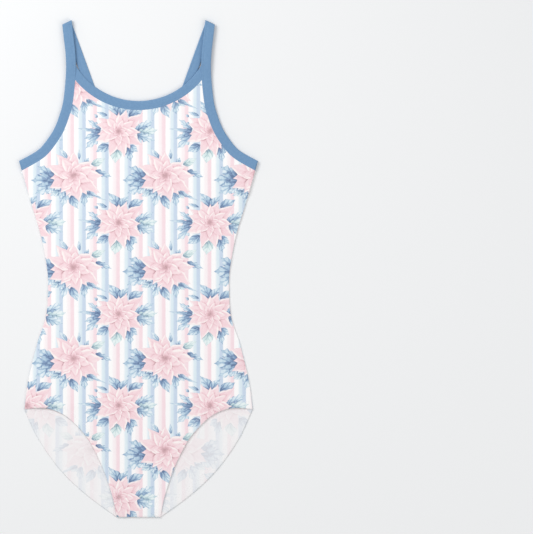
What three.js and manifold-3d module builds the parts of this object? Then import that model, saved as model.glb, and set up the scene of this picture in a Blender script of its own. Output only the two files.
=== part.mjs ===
// A camisole leotard for a girl of about eight to ten, laid out flat with its front up.
// Millimetres, +Z up, +Y to the shoulders. The origin is on the floor under the middle of the outline.
// The back panel and its bands lie on the floor, the front panel and its bands lie on those.
import * as THREE from "three";
import { mergeVertices } from "three/addons/utils/BufferGeometryUtils.js";
import Module from "manifold-3d";

const wasm = await Module();
wasm.setup();

// Driving sizes.
const LENGTH = 596; // crotch seam to the top of the shoulder seam
const PANEL_WALL = 1.2; // printed knit
const BAND_WALL = 1.6; // folded binding, four layers of knit
const GAP = 0.3; // between neighbours at a seam, and between layers
const NECK_BAND = 10.2; // finished width of the neck bindings
const ARM_BAND = 10.9; // finished width of the armhole bindings and straps
const NECK_RADIUS = 97.5; // of the neck seam
const NECK_HEIGHT = 489; // lowest point of the neck seam, above the crotch seam
const OUTLINE_STEP = 6; // length of an outline's straight pieces
const CELL = 12; // size of the front panel's cells
const LOFT = 2.2; // how far the front panel's middle stands off the back
const SEAM_RISE = 0.5; // how far the front panel climbs to meet its bands
const SEAM_RISE_WIDTH = 30;

// Heights are above the crotch seam, and half is the distance from the centre line.
const SIDE_SEAM = [
  { height: 129.4, half: 136.7 },
  { height: 154.8, half: 133.8 },
  { height: 174, half: 130.2 },
  { height: 193.2, half: 125.4 },
  { height: 212.4, half: 120.3 },
  { height: 231.6, half: 113.4 },
  { height: 248, half: 109.9 },
  { height: 274.8, half: 108.5 },
  { height: 298.8, half: 109.8 },
  { height: 337.2, half: 117 },
  { height: 375.6, half: 128.4 },
  { height: 427.2, half: 143.4 },
];
const FRONT_LEG = [
  { height: 0, half: 26.3 },
  { height: 20.4, half: 30.3 },
  { height: 39.6, half: 36 },
  { height: 58.8, half: 42.9 },
  { height: 78, half: 51.9 },
  { height: 97.2, half: 63.3 },
  { height: 116.4, half: 81.3 },
  { height: 126, half: 96.3 },
  { height: 130.8, half: 114 },
  { height: 129.4, half: 136.7 },
];
const BACK_LEG = [
  { height: 0, half: 26.3 },
  { height: 20.4, half: 54.6 },
  { height: 39.6, half: 77.4 },
  { height: 58.8, half: 95.7 },
  { height: 78, half: 110.1 },
  { height: 97.2, half: 122.1 },
  { height: 116.4, half: 131.1 },
  { height: 129.4, half: 136.7 },
];
// Middle of the armhole binding, which runs on as the shoulder strap. Its ends reach past the seams that cut it.
const ARM_LINE = [
  { height: 417, half: 150.4 },
  { height: 422.1, half: 141.2 },
  { height: 433.2, half: 121.2 },
  { height: 442.8, half: 110.3 },
  { height: 462, half: 97.1 },
  { height: 481.2, half: 89.4 },
  { height: 500.4, half: 84.6 },
  { height: 533, half: 81.6 },
  { height: 556, half: 82.1 },
  { height: 577.2, half: 84.5 },
  { height: 604, half: 87.4 },
];
// The back strap is straight, from the neck binding up to the shoulder seam.
const BACK_STRAP = { foot: { height: 514, half: 57.4 }, top: { height: 593.5, half: 86.2 } };
const SHOULDER_SEAM = { outer: { height: 591, half: 91.4 }, inner: { height: 596, half: 81 } };

// Where the straps cross at the shoulder, the back armhole strap climbs over the back strap,
// and the front strap climbs over both.
const CROSSING = { start: 523, end: 547 };

const NECK_CENTRE = new THREE.Vector2(0, NECK_HEIGHT + NECK_RADIUS);
const FLOOR = 0;
const UPPER = BAND_WALL + GAP; // underside of the second layer of bands

// A band's section: across it from its left edge to its right edge, and up its wall.
const BAND_SECTION = [
  { across: 0.04, up: 0 },
  { across: 0.96, up: 0 },
  { across: 1, up: 0.45 },
  { across: 0.93, up: 0.84 },
  { across: 0.5, up: 1 },
  { across: 0.07, up: 0.84 },
  { across: 0, up: 0.45 },
];

const colours = {
  print: new THREE.MeshStandardMaterial({ color: 0xf3dfe6, roughness: 0.6, metalness: 0 }),
  binding: new THREE.MeshStandardMaterial({ color: 0x7aa0cb, roughness: 0.5, metalness: 0 }),
};

const point = ({ height, half }) => new THREE.Vector2(half, height);
const mirrored = (points) => points.map((p) => new THREE.Vector2(-p.x, p.y)).reverse();
const smooth = (t) => THREE.MathUtils.smoothstep(t, 0, 1);

// Evenly spaced points on a smooth curve through a table's rows.
function curve(rows, step = OUTLINE_STEP) {
  const spline = new THREE.SplineCurve(rows.map(point));
  return spline.getSpacedPoints(Math.ceil(spline.getLength() / step));
}

function lengthOf(points) {
  return points.slice(1).reduce((sum, p, i) => sum + p.distanceTo(points[i]), 0);
}

// The same line with count even pieces.
function respaced(points, count) {
  const piece = lengthOf(points) / count;
  const spaced = [points[0].clone()];
  let walked = 0;
  for (let i = 1; i < points.length; i++) {
    const length = points[i].distanceTo(points[i - 1]);
    while (spaced.length < count && walked + length >= piece * spaced.length) {
      const share = (piece * spaced.length - walked) / length;
      spaced.push(points[i - 1].clone().lerp(points[i], share));
    }
    walked += length;
  }
  spaced.push(points.at(-1).clone());
  return spaced;
}

// A line moved sideways, to the left of the way it runs.
function offset(points, distance) {
  return points.map((p, i) => {
    const before = points[Math.max(i - 1, 0)];
    const after = points[Math.min(i + 1, points.length - 1)];
    const along = after.clone().sub(before).normalize();
    return new THREE.Vector2(p.x - along.y * distance, p.y + along.x * distance);
  });
}

// The part of a line on the side of a cut where side() is positive, ending on the cut.
function cutLine(points, side) {
  const kept = [];
  points.forEach((p, i) => {
    const before = points[i - 1];
    if (before && side(before) > 0 !== side(p) > 0) {
      kept.push(before.clone().lerp(p, side(before) / (side(before) - side(p))));
    }
    if (side(p) > 0) kept.push(p);
  });
  return kept;
}

// Signed distance to the line through a and b, positive on its left.
function leftOf(a, b, beyond = 0) {
  const along = b.clone().sub(a).normalize();
  return (p) => along.x * (p.y - a.y) - along.y * (p.x - a.x) - beyond;
}

// Points of a neck arc, counted in radians from straight down, to the right and up.
function neckArc(radius, from, to, count) {
  return Array.from({ length: count + 1 }, (_, i) => {
    const angle = from + ((to - from) * i) / count;
    return new THREE.Vector2(
      NECK_CENTRE.x + radius * Math.sin(angle),
      NECK_CENTRE.y - radius * Math.cos(angle),
    );
  });
}

const neckAngle = (p) => Math.atan2(p.x - NECK_CENTRE.x, NECK_CENTRE.y - p.y);
const outsideNeck = (radius) => (p) => p.distanceTo(NECK_CENTRE) - radius;

// Seams that cut the bands.
const underarm = point(SIDE_SEAM.at(-1));
const belowUnderarm = point(SIDE_SEAM.at(-2));
const insideSide = leftOf(belowUnderarm, underarm);
const belowShoulder = leftOf(point(SHOULDER_SEAM.outer), point(SHOULDER_SEAM.inner));

// The armhole band's edges, from the side seam up to the shoulder seam.
const armLine = curve(ARM_LINE, OUTLINE_STEP / 2);
const armEdge = (distance) =>
  cutLine(cutLine(offset(armLine, distance), insideSide), belowShoulder);
const armInner = armEdge(ARM_BAND / 2);
const armOuter = armEdge(-ARM_BAND / 2);

// The right half of a panel's outline, from the crotch seam up and round to the middle of the neck.
function halfOutline(legRows) {
  const armSeam = armEdge(ARM_BAND / 2 + GAP);
  const arm = cutLine(armSeam, outsideNeck(NECK_RADIUS + GAP)).filter((p) => p.y < NECK_CENTRE.y);
  const side = curve(SIDE_SEAM).filter((p) => p.y < arm[0].y - OUTLINE_STEP / 2);
  const corner = neckAngle(arm.at(-1));
  const neckPieces = Math.ceil((corner * NECK_RADIUS) / OUTLINE_STEP);
  const neck = neckArc(NECK_RADIUS + GAP, corner, 0, neckPieces);
  const armPieces = Math.ceil(lengthOf(arm) / OUTLINE_STEP);
  return [...curve(legRows), ...side.slice(1), ...respaced(arm, armPieces), ...neck.slice(1)];
}

function outline(legRows) {
  const right = halfOutline(legRows);
  return [...right, ...mirrored(right).slice(1)];
}

// From heights above the crotch seam to the part's own frame.
const placed = (p) => new THREE.Vector2(p.x, p.y - LENGTH / 2);

function solidOf(geometry) {
  const bare = new THREE.BufferGeometry();
  bare.setAttribute("position", geometry.getAttribute("position"));
  bare.setIndex(geometry.getIndex());
  const merged = mergeVertices(bare, 1e-4);
  return new wasm.Manifold(
    new wasm.Mesh({
      numProp: 3,
      vertProperties: merged.attributes.position.array,
      triVerts: new Uint32Array(merged.index.array),
    }),
  );
}

function geometryOf(solid) {
  const mesh = solid.getMesh();
  const geometry = new THREE.BufferGeometry();
  geometry.setAttribute("position", new THREE.BufferAttribute(mesh.vertProperties, 3));
  geometry.setIndex(new THREE.BufferAttribute(mesh.triVerts, 1));
  return geometry;
}

function meshOf(name, geometry, material) {
  geometry.computeVertexNormals();
  const mesh = new THREE.Mesh(geometry, material);
  mesh.name = name;
  return mesh;
}

// A sheet with a flat plan over a grid, PANEL_WALL thick, whose underside is at under(x, height).
function gridSlab(halfWidth, columns, rows, under) {
  const positions = [];
  const indices = [];
  const at = (level, i, j) => (level * (rows + 1) + j) * (columns + 1) + i;
  for (const level of [0, 1]) {
    for (let j = 0; j <= rows; j++) {
      for (let i = 0; i <= columns; i++) {
        const x = halfWidth * ((2 * i) / columns - 1);
        const height = (LENGTH * j) / rows;
        const base = under(new THREE.Vector2(x, height));
        positions.push(x, height - LENGTH / 2, base + level * PANEL_WALL);
      }
    }
  }
  const quad = (a, b, c, d) => indices.push(a, b, c, a, c, d);
  for (let j = 0; j < rows; j++) {
    for (let i = 0; i < columns; i++) {
      quad(at(1, i, j), at(1, i + 1, j), at(1, i + 1, j + 1), at(1, i, j + 1));
      quad(at(0, i, j), at(0, i, j + 1), at(0, i + 1, j + 1), at(0, i + 1, j));
    }
  }
  for (let i = 0; i < columns; i++) {
    quad(at(0, i, 0), at(0, i + 1, 0), at(1, i + 1, 0), at(1, i, 0));
    quad(at(0, i + 1, rows), at(0, i, rows), at(1, i, rows), at(1, i + 1, rows));
  }
  for (let j = 0; j < rows; j++) {
    quad(at(0, 0, j + 1), at(0, 0, j), at(1, 0, j), at(1, 0, j + 1));
    quad(at(0, columns, j), at(0, columns, j + 1), at(1, columns, j + 1), at(1, columns, j));
  }
  const geometry = new THREE.BufferGeometry();
  geometry.setAttribute("position", new THREE.Float32BufferAttribute(positions, 3));
  geometry.setIndex(indices);
  return geometry;
}

// Straight walls on a panel's outline, from its lowest level up.
function prism(points, low, high) {
  const shape = new THREE.Shape(points.map(placed));
  return new THREE.ExtrudeGeometry(shape, { depth: high - low, bevelEnabled: false }).translate(0, 0, low);
}

function backPanel() {
  return meshOf("back_panel", prism(outline(BACK_LEG), FLOOR, PANEL_WALL), colours.print);
}

// The front panel's half width at a height, from its outline's right half.
function spanAt(right, height) {
  const above = right.findIndex((p) => p.y >= height);
  if (above <= 0) return right[0].x;
  const [a, b] = [right[above - 1], right[above]];
  return a.x + ((b.x - a.x) * (height - a.y)) / Math.max(b.y - a.y, 1e-6);
}

// The underside of the front panel: on the back panel at its edges, a little proud in the middle,
// and higher at the neck and armholes, where it meets its thicker bands.
function frontUnderside(right, bandSeam) {
  return (p) => {
    const across = Math.min(Math.abs(p.x) / spanAt(right, p.y), 1);
    const along = smooth(p.y / 150) * smooth((NECK_HEIGHT - p.y) / 90);
    const toBand = Math.min(...bandSeam.map((q) => q.distanceTo(new THREE.Vector2(Math.abs(p.x), p.y))));
    const rise = SEAM_RISE * (1 - smooth(toBand / SEAM_RISE_WIDTH));
    return PANEL_WALL + GAP + rise + LOFT * along * (1 - across ** 2);
  };
}

function frontPanel() {
  const right = halfOutline(FRONT_LEG);
  const bandSeam = right.slice(right.findIndex((p) => p.y > belowUnderarm.y + CELL));
  const halfWidth = underarm.x + CELL;
  const columns = Math.ceil((2 * halfWidth) / CELL);
  const rows = Math.ceil(LENGTH / CELL);
  const slab = gridSlab(halfWidth, columns, rows, frontUnderside(right, bandSeam));
  const walls = prism(outline(FRONT_LEG), FLOOR, BAND_WALL * 4 + LOFT);
  const cut = solidOf(slab).intersect(solidOf(walls));
  return meshOf("front_panel", geometryOf(cut), colours.print);
}

// A band between its left and right edge lines, of equal count, its underside at base(height).
function band(name, left, right, base) {
  const sides = BAND_SECTION.length;
  const positions = [];
  const indices = [];
  left.forEach((a, i) => {
    for (const { across, up } of BAND_SECTION) {
      const p = a.clone().lerp(right[i], across);
      positions.push(p.x, p.y - LENGTH / 2, base(p.y) + up * BAND_WALL);
    }
  });
  const vertex = (i, k) => i * sides + (k % sides);
  for (let i = 0; i + 1 < left.length; i++) {
    for (let k = 0; k < sides; k++) {
      const [a, b, c, d] = [vertex(i, k), vertex(i, k + 1), vertex(i + 1, k + 1), vertex(i + 1, k)];
      indices.push(a, c, b, a, d, c);
    }
  }
  const last = left.length - 1;
  for (let k = 1; k + 1 < sides; k++) {
    indices.push(vertex(0, 0), vertex(0, k), vertex(0, k + 1));
    indices.push(vertex(last, 0), vertex(last, k + 1), vertex(last, k));
  }
  const geometry = new THREE.BufferGeometry();
  geometry.setAttribute("position", new THREE.Float32BufferAttribute(positions, 3));
  geometry.setIndex(indices);
  return meshOf(name, geometry, colours.binding);
}

// The piece with +X as given, and its mirror image. Left and right are the wearer's.
function pair(name, inner, outer, base) {
  return [
    band(`${name}_left`, inner, outer, base),
    band(`${name}_right`, mirrored(inner), mirrored(outer), base),
  ];
}

const climb = (height) => smooth((height - CROSSING.start) / (CROSSING.end - CROSSING.start));

function armholeBands() {
  const pieces = Math.ceil(lengthOf(armInner) / OUTLINE_STEP);
  const edges = [respaced(armInner, pieces), respaced(armOuter, pieces)];
  const backBase = (height) => FLOOR + UPPER * climb(height);
  const frontBase = (height) => UPPER + UPPER * climb(height);
  return [
    ...pair("back_armhole_band", ...edges, backBase),
    ...pair("front_armhole_band", ...edges, frontBase),
  ];
}

// The back strap's edge lines, from where they cross the neck binding's edges up to the shoulder seam.
function strapEdge(distance, radius) {
  const [foot, top] = [point(BACK_STRAP.foot), point(BACK_STRAP.top)];
  const along = top.clone().sub(foot).normalize();
  const start = foot.clone().addScaledVector(new THREE.Vector2(along.y, -along.x), distance);
  const fromCentre = start.clone().sub(NECK_CENTRE);
  const half = fromCentre.dot(along);
  const walk = -half - Math.sqrt(half ** 2 - fromCentre.lengthSq() + radius ** 2);
  const meets = start.clone().addScaledVector(along, walk);
  const foot2 = meets.clone().addScaledVector(along, GAP * 1.1);
  const end = start.clone().addScaledVector(along, LENGTH - NECK_HEIGHT);
  return { meets, line: cutLine([foot2, end], belowShoulder) };
}

function backStraps() {
  const pieces = 8;
  const outer = strapEdge(ARM_BAND / 2, NECK_RADIUS);
  const inner = strapEdge(-ARM_BAND / 2, NECK_RADIUS - NECK_BAND);
  const edges = [respaced(inner.line, pieces), respaced(outer.line, pieces)];
  return { outer, inner, meshes: pair("back_strap", ...edges, () => FLOOR) };
}

// A neck binding, between end angles of its seam edge and of its free edge.
function neckBand(name, seamAngle, freeAngle, base) {
  const pieces = Math.ceil((2 * seamAngle * NECK_RADIUS) / OUTLINE_STEP);
  const seam = neckArc(NECK_RADIUS, -seamAngle, seamAngle, pieces);
  const free = neckArc(NECK_RADIUS - NECK_BAND, -freeAngle, freeAngle, pieces);
  return band(name, free, seam, base);
}

// The front neck binding ends on the straps' inner edges.
function frontNeckBand() {
  const strapSide = armEdge(ARM_BAND / 2 + GAP).filter((p) => p.y < NECK_CENTRE.y);
  const meets = (radius) => neckAngle(cutLine(strapSide, outsideNeck(radius)).at(-1));
  return neckBand("front_neck_band", meets(NECK_RADIUS), meets(NECK_RADIUS - NECK_BAND), () => UPPER);
}

function leotard() {
  const group = new THREE.Group();
  const straps = backStraps();
  const backNeck = neckBand(
    "back_neck_band",
    neckAngle(straps.outer.meets),
    neckAngle(straps.inner.meets),
    () => FLOOR,
  );
  group.add(backPanel(), frontPanel(), backNeck, frontNeckBand(), ...armholeBands(), ...straps.meshes);
  return group;
}

export default leotard();
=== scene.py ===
# A printed camisole leotard, laid out flat with its front up.
# Sizes are in millimetres, heights are above the crotch seam, and half is the distance
# from the centre line. Meshes are turned into metres, with +Z up and +Y to the shoulders.
import math

import bmesh
import bpy
import numpy as np
from mathutils.geometry import delaunay_2d_cdt
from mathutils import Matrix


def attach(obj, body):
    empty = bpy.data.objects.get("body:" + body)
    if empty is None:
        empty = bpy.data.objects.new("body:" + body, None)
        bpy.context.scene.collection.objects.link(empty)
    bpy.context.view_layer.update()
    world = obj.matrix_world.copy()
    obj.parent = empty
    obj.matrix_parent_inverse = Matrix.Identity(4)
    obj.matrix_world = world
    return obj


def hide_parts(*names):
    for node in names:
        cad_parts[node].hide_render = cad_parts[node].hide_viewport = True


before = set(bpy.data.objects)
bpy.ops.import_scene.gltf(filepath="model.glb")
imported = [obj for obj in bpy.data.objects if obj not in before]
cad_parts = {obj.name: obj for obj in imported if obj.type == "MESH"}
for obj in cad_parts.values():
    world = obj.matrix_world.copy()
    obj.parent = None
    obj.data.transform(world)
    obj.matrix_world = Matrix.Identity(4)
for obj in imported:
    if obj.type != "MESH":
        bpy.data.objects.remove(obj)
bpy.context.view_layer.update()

# The garment's sizes.
LENGTH = 596.0
PANEL_WALL = 1.2
PANEL_CLOTH = 1.0
BAND_WALL = 1.6
GAP = 0.3
NECK_BAND = 10.2
ARM_BAND = 10.9
NECK_RADIUS = 97.5
NECK_HEIGHT = 489.0
LOFT = 2.2
SEAM_RISE = 0.5
SEAM_RISE_WIDTH = 30.0
HEM = 9.0
HEM_RISE = 0.3
HEM_FADE = 1.6  # width of the step where the turned hem ends
JOIN_WIDTH = 9.0  # over this the front comes down to the back at the side and crotch seams
JOIN_FADE = 4.0  # over this it stops doing so beside the bindings
CLEAR = 0.02  # a hair's breadth between two layers
UPPER = BAND_WALL + GAP  # underside of the second layer of bindings
LIP = 0.9  # how far a binding laps over its panel's edge
TUCK = 1.2  # how far a binding's end is tucked under its neighbour
STEP_AT_JOIN = 0.04  # where one binding runs into another, so that no faces fall together
CROSSING = (523.0, 547.0)  # between these heights an armhole binding climbs onto the straps
BELOW_NECK_CENTRE = 20.0
BOUND_FROM = 12.0  # above the side seam's last row but one, a panel's edge counts as bound

SIDE_SEAM = [  # height, half
    (129.4, 136.7), (154.8, 133.8), (174.0, 130.2), (193.2, 125.4), (212.4, 120.3),
    (231.6, 113.4), (248.0, 109.9), (274.8, 108.5), (298.8, 109.8), (337.2, 117.0),
    (375.6, 128.4), (427.2, 143.4),
]
FRONT_LEG = [
    (0.0, 26.3), (20.4, 30.3), (39.6, 36.0), (58.8, 42.9), (78.0, 51.9),
    (97.2, 63.3), (116.4, 81.3), (126.0, 96.3), (130.8, 114.0), (129.4, 136.7),
]
BACK_LEG = [
    (0.0, 26.3), (20.4, 54.6), (39.6, 77.4), (58.8, 95.7), (78.0, 110.1),
    (97.2, 122.1), (116.4, 131.1), (129.4, 136.7),
]
ARM_LINE = [
    (417.0, 150.4), (422.1, 141.2), (433.2, 121.2), (442.8, 110.3), (462.0, 97.1),
    (481.2, 89.4), (500.4, 84.6), (533.0, 81.6), (556.0, 82.1), (577.2, 84.5),
    (604.0, 87.4),
]
BACK_STRAP = [(514.0, 57.4), (593.5, 86.2)]
SHOULDER_SEAM = [(591.0, 91.4), (596.0, 81.0)]
NECK_CENTRE = np.array([0.0, NECK_HEIGHT + NECK_RADIUS])

# How the front panel lies: it rises from its seams over these lengths, and is never quite even.
LOFT_FROM_CROTCH = 150.0
LOFT_FROM_NECK = 90.0
DRIFT = 0.35
DRIFT_WAVES = [(31, 9, 0.6), (-11, 17, 1.1)]  # radians a metre across and along, and phase
DRIFT_FADE = 0.25  # as a share of the half width
GATHER_HEIGHT = 0.2
GATHER_PITCH = 13.0
GATHER_REACH = 16.0
GATHER_CLEAR = 3.0
PUCKER_HEIGHT = 0.1
PUCKER_PITCH = 17.0
PUCKER_REACH = 18.0
RIPPLES = [(1.0, 0.0, 0.5), (0.61, 1.7, 0.3), (1.63, 4.1, 0.2)]  # rate, phase, share

# A binding's section: across it from its seam to its free edge, and up its wall.
BAND_SECTION = [
    (0.045, 0.0), (0.17, 0.0), (0.225, 0.11), (0.28, 0.0), (0.5, 0.0), (0.75, 0.0),
    (0.955, 0.0), (0.99, 0.14), (1.0, 0.45), (0.99, 0.74), (0.955, 0.9), (0.85, 0.97),
    (0.68, 1.0), (0.5, 1.0), (0.34, 0.97), (0.27, 0.93), (0.225, 0.86), (0.18, 0.92),
    (0.1, 0.95), (0.045, 0.9), (0.01, 0.74), (0.0, 0.45), (0.01, 0.14),
]

BAND_SWELL = 0.05  # unevenness of a binding's upper face, as a share of its wall
BAND_SWELL_PITCH = 7.0
BAND_SWELL_FROM = 0.8  # height in its wall from which it swells
FRONT_NECK_SEED = 0.3
BACK_NECK_SEED = 1.3
FRONT_ARM_SEED = 2.1
BACK_ARM_SEED = 4.4
STRAP_SEED = 6.0

# Stitches: length, space and radius.
STITCH = (2.2, 0.7, 0.19)
HEM_STITCH = (2.3, 0.7, 0.16)
STITCH_LINE = 0.225  # across a binding, from its seam side
STITCH_UP = 0.86  # height in the binding's wall
SHOULDER_ROW = 4.0  # from the shoulder seam
HEM_ROWS = (2.6, 0.6)  # from the hem's inner edge
HEM_ROWS_END = 134.0  # half, where the rows stop at the side seam
HEM_ROWS_START = 1.0  # height, where they start at the crotch seam
SHOULDER_ROW_SLOPE = (-0.2, -1.0)
SHOULDER_ROW_PIECES = 10
SHOULDER_ROW_LIFT = 0.06
STITCH_SIDES = 6
STITCH_PROFILE = [(-0.5, 0.3), (-0.3, 0.85), (0.0, 1.0), (0.3, 0.85), (0.5, 0.3)]  # place, radius
STITCH_DIP = 0.1

# Mesh sizes.
MESH_STEP = 3.0
ROW_SHARE = 0.866  # an even triangle's height over its side
EDGE_STEP = 2.4
EDGE_LOOPS = (0.2, 0.6)  # from a panel's edge, to carry its rounding
EDGE_MARGIN = 1.9  # from a panel's edge to its other points
BAND_STEP = 2.0
STRAP_PIECES = 44
FINE_STEP = 1.5
CURVE_PIECES = 40
ON_EDGE = 1e-4
SAME_POINT = 1e-5
ONLY_INSIDE = 1  # what the triangulation returns


# Lines in the plane, as arrays of (half, height).


def as_points(rows):
    return np.array([(half, height) for height, half in rows])


def lengths(points):
    return np.concatenate([[0.0], np.cumsum(np.linalg.norm(np.diff(points, axis=0), axis=1))])


def respaced(points, step=None, count=None):
    along = lengths(points)
    count = count or math.ceil(along[-1] / step)
    at = np.linspace(0.0, along[-1], count + 1)
    return np.stack([np.interp(at, along, points[:, k]) for k in (0, 1)], axis=1)


def curve(rows, step=EDGE_STEP):
    """Evenly spaced points on a smooth curve through a table's rows."""
    points = as_points(rows)
    padded = np.vstack([points[:1], points, points[-1:]])
    t = np.linspace(0.0, 1.0, CURVE_PIECES, endpoint=False)[:, None]
    pieces = []
    for a, b, c, d in zip(padded, padded[1:], padded[2:], padded[3:]):
        v0, v1 = (c - a) / 2, (d - b) / 2
        pieces.append(
            (2 * b - 2 * c + v0 + v1) * t**3 + (-3 * b + 3 * c - 2 * v0 - v1) * t**2 + v0 * t + b
        )
    return respaced(np.vstack([*pieces, points[-1:]]), step)


def offset(points, distance):
    """A line moved to the left of the way it runs."""
    along = np.gradient(points, axis=0)
    along /= np.linalg.norm(along, axis=1)[:, None]
    return points + distance * np.stack([-along[:, 1], along[:, 0]], axis=1)


def cut(points, side):
    """The part of a line where side is positive, ending on the cut."""
    value = side(points)
    kept = []
    for i, p in enumerate(points):
        if i and (value[i - 1] > 0) != (value[i] > 0):
            share = value[i - 1] / (value[i - 1] - value[i])
            kept.append(points[i - 1] + share * (p - points[i - 1]))
        if value[i] > 0:
            kept.append(p)
    return np.array(kept)


def left_of(a, b):
    along = (b - a) / np.linalg.norm(b - a)
    return lambda p: along[0] * (p[:, 1] - a[1]) - along[1] * (p[:, 0] - a[0])


def outside_neck(radius):
    return lambda p: np.linalg.norm(p - NECK_CENTRE, axis=1) - radius


def neck_angle(p):
    return math.atan2(p[0] - NECK_CENTRE[0], NECK_CENTRE[1] - p[1])


def neck_arc(radius, start, end, count=None):
    count = count or math.ceil(abs(end - start) * radius / EDGE_STEP)
    angle = np.linspace(start, end, count + 1)
    return NECK_CENTRE + radius * np.stack([np.sin(angle), -np.cos(angle)], axis=1)


def mirrored(points):
    return (points * (-1, 1))[::-1]


def smooth(t):
    t = np.clip(t, 0.0, 1.0)
    return t * t * (3 - 2 * t)


def nearest(points, line):
    """Distance to a line, and how far along it the nearest place is."""
    a, b = line[:-1], line[1:]
    along = lengths(line)
    best = np.full(len(points), np.inf)
    where = np.zeros(len(points))
    for p, q, start, stop in zip(a, b, along, along[1:]):
        d = q - p
        t = np.clip((points - p) @ d / (d @ d), 0.0, 1.0)
        away = np.linalg.norm(points - p - t[:, None] * d, axis=1)
        closer = away < best
        best[closer] = away[closer]
        where[closer] = (start + t * (stop - start))[closer]
    return best, where


def inside(points, outline):
    x, y = points[:, 0], points[:, 1]
    found = np.zeros(len(points), bool)
    for (x1, y1), (x2, y2) in zip(outline, np.roll(outline, -1, axis=0)):
        if y1 == y2:
            continue
        crosses = (y1 > y) != (y2 > y)
        found ^= crosses & (x < (x2 - x1) * (y - y1) / (y2 - y1) + x1)
    return found


# The seams and edges of the right half, from the bottom up.
underarm, below_underarm = as_points(SIDE_SEAM)[[-1, -2]]
inside_side = left_of(below_underarm, underarm)
below_shoulder = left_of(*as_points(SHOULDER_SEAM))
arm_line = curve(ARM_LINE, FINE_STEP)


def arm_edge(distance):
    return cut(cut(offset(arm_line, distance), inside_side), below_shoulder)


def below_neck_centre(points):
    return points[points[:, 1] < NECK_CENTRE[1] - BELOW_NECK_CENTRE]


def half_outline(leg_rows):
    arm = below_neck_centre(cut(arm_edge(ARM_BAND / 2 + GAP), outside_neck(NECK_RADIUS + GAP)))
    side = curve(SIDE_SEAM)
    side = side[side[:, 1] < arm[0][1] - EDGE_STEP / 2]
    neck = neck_arc(NECK_RADIUS + GAP, neck_angle(arm[-1]), 0.0)
    return np.vstack([curve(leg_rows), side[1:], respaced(arm, EDGE_STEP), neck[1:]])


def outline(leg_rows):
    right = half_outline(leg_rows)
    return np.vstack([right, mirrored(right)[1:]])


# Meshes.


def in_metres(x, y, z):
    return np.stack([x, y - LENGTH / 2, z], axis=-1) / 1000


def mesh_object(name, vertices, faces, uvs, materials, slots=None):
    """uvs holds a pair for each vertex, and slots a material's number for each face."""
    mesh = bpy.data.meshes.new(name)
    mesh.from_pydata(vertices.tolist(), [], faces)
    for material in materials:
        mesh.materials.append(material)
    if slots is not None:
        mesh.polygons.foreach_set("material_index", slots)
    layer = mesh.uv_layers.new(name="cut")
    corner = np.zeros(len(mesh.loops), dtype=np.int32)
    mesh.loops.foreach_get("vertex_index", corner)
    layer.data.foreach_set("uv", np.asarray(uvs, dtype=np.float32)[corner].ravel())
    mesh.polygons.foreach_set("use_smooth", [True] * len(mesh.polygons))
    mesh.update()
    made = bpy.data.objects.new(name, mesh)
    bpy.context.scene.collection.objects.link(made)
    return made


def inset(edge, distance):
    """A closed outline moved inwards. It runs anticlockwise, so inwards is to its left."""
    before, after = np.roll(edge, 1, axis=0), np.roll(edge, -1, axis=0)
    along = after - before
    along /= np.linalg.norm(along, axis=1)[:, None]
    return edge + distance * np.stack([-along[:, 1], along[:, 0]], axis=1)


def triangulated(edge):
    """Even triangles inside an outline, with two loops close inside it for its rounded edge."""
    loops = [edge, *(inset(edge, distance) for distance in EDGE_LOOPS)]
    low, high = edge.min(axis=0), edge.max(axis=0)
    grid = []
    for j, y in enumerate(np.arange(low[1], high[1], MESH_STEP * ROW_SHARE)):
        x = np.arange(low[0], high[0], MESH_STEP) + (j % 2) * MESH_STEP / 2
        grid.append(np.stack([x, np.full(len(x), y)], axis=1))
    grid = np.vstack(grid)
    grid = grid[inside(grid, edge)]
    closed = np.vstack([edge, edge[:1]])
    grid = grid[nearest(grid, closed)[0] > EDGE_MARGIN]
    points = np.vstack([*loops, grid])
    edges = []
    start = 0
    for loop in loops:
        n = len(loop)
        edges += [(start + i, start + (i + 1) % n) for i in range(n)]
        start += n
    outer = [list(range(len(edge)))]
    found = delaunay_2d_cdt(points.tolist(), edges, outer, ONLY_INSIDE, SAME_POINT)
    flat = np.array([tuple(v) for v in found[0]])
    return flat, [tuple(f) for f in found[2]]


def ripple(along, seed, pitch):
    """Uneven gathers along a seam, from -1 to 1."""
    total = 0.0
    for rate, phase, share in RIPPLES:
        total = total + share * np.sin(2 * math.pi * along * rate / pitch + phase + seed)
    return total


def panel(name, leg_rows, middle, outer_up, print_at):
    """A thin closed sheet on a middle surface, with a rounded edge and its print on the outer side."""
    edge = outline(leg_rows)
    flat, faces = triangulated(edge)
    away = nearest(flat, np.vstack([edge, edge[:1]]))[0]
    rounding = PANEL_CLOTH / 2
    reach = np.clip(away / rounding, 0.0, 1.0)
    half = rounding * np.sqrt(1 - (1 - reach) ** 2)
    centre = middle(flat)
    n = len(flat)
    rim = away < ON_EDGE
    lower = np.where(rim, np.arange(n), np.arange(n) + n)
    upward = []
    downward = []
    for a, b, c in faces:
        if np.cross(flat[b] - flat[a], flat[c] - flat[a]) < 0:
            b, c = c, b
        upward.append((a, b, c))
        downward.append((int(lower[a]), int(lower[c]), int(lower[b])))
    used = np.ones(2 * n, bool)
    used[n:][rim] = False
    renumber = np.cumsum(used) - 1
    vertices = np.vstack([in_metres(*flat.T, centre + half), in_metres(*flat.T, centre - half)])[used]
    all_faces = [tuple(int(renumber[v]) for v in f) for f in upward + downward]
    side = 1 if outer_up else -1
    uv = np.stack([side * flat[:, 0] - print_at[0], flat[:, 1] - LENGTH / 2 - print_at[1]], axis=1)
    uv = np.vstack([uv, uv])[used]
    above, below = (0, 1) if outer_up else (1, 0)
    slots = [above] * len(upward) + [below] * len(downward)
    return mesh_object(name, vertices, all_faces, uv, [printed, wrong_side], slots)


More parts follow.
